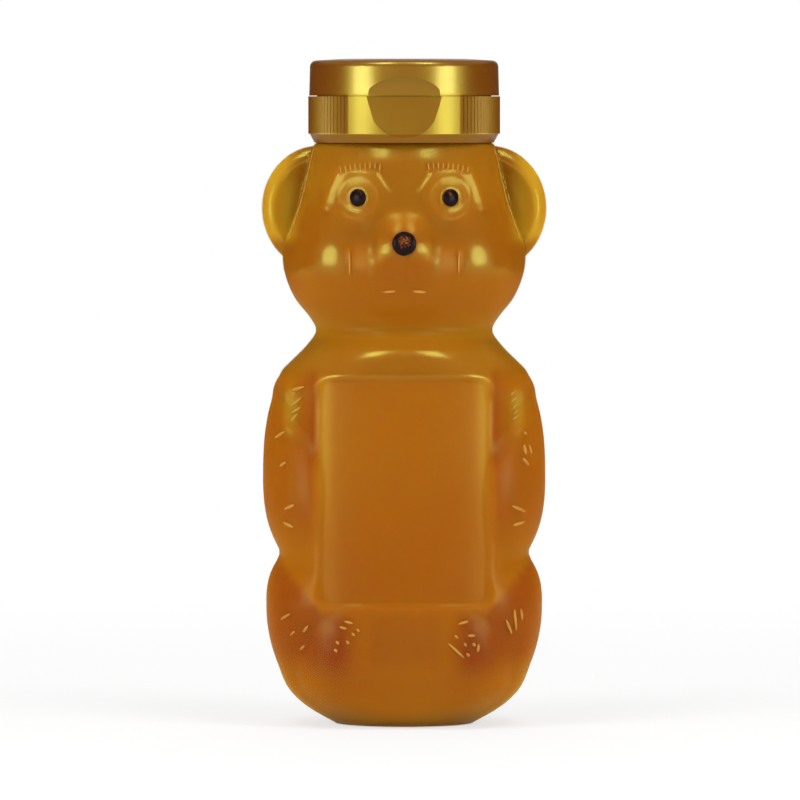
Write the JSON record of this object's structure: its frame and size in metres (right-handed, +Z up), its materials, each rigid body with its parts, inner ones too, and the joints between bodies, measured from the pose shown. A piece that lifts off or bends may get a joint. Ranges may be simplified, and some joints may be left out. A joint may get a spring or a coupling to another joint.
{
  "type": "squeeze bottle",
  "caption": "Bear-shaped squeeze bottle of honey with bare label panels, a ribbed screw closure and a flip-top lid on a living hinge.",
  "frame": {"origin": "centre of the base that the bottle stands on", "axes": "+Z up, -Y towards the bear's face, +X to the right of someone facing it"},
  "size_m": [0.062, 0.0515, 0.1442],
  "materials": {
    "bottle_plastic": "clear glossy blow-moulded plastic",
    "honey": "clear amber liquid",
    "black_paint": "glossy black paint",
    "liner_foam": "white foam",
    "gold_plastic": "gold metallic polypropylene"
  },
  "bodies": {
    "bottle": {"bottle_shell": "bottle_plastic", "honey_fill": "honey", "eye_left": "black_paint", "eye_right": "black_paint", "nose": "black_paint"},
    "liner": {"sealing_ring": "liner_foam"},
    "closure": {"closure_base": "gold_plastic", "hinge_film": "gold_plastic", "hinge_spring_left": "gold_plastic", "hinge_spring_right": "gold_plastic"},
    "lid": {"flip_lid": "gold_plastic"}
  },
  "joints": [
    {"name": "closure_lift", "type": "slide", "parent": "bottle", "child": "liner", "axis": [0, 0, 1], "range_m": [0, 0.0127]},
    {"name": "closure_turn", "type": "hinge", "parent": "liner", "child": "closure", "pos_m": [0, 0, 0.131], "axis": [0, 0, 1], "range_deg": [0, 1080]},
    {"name": "lid_hinge", "type": "hinge", "parent": "closure", "child": "lid", "pos_m": [0, 0.02092, 0.13617], "axis": [-1, 0, 0], "range_deg": [0, 125], "deforming": ["hinge_film", "hinge_spring_left", "hinge_spring_right"]}
  ],
  "couplings": [
    {"joint": "closure_lift", "follows": "closure_turn", "m_per_rad": 0.00067376}
  ]
}
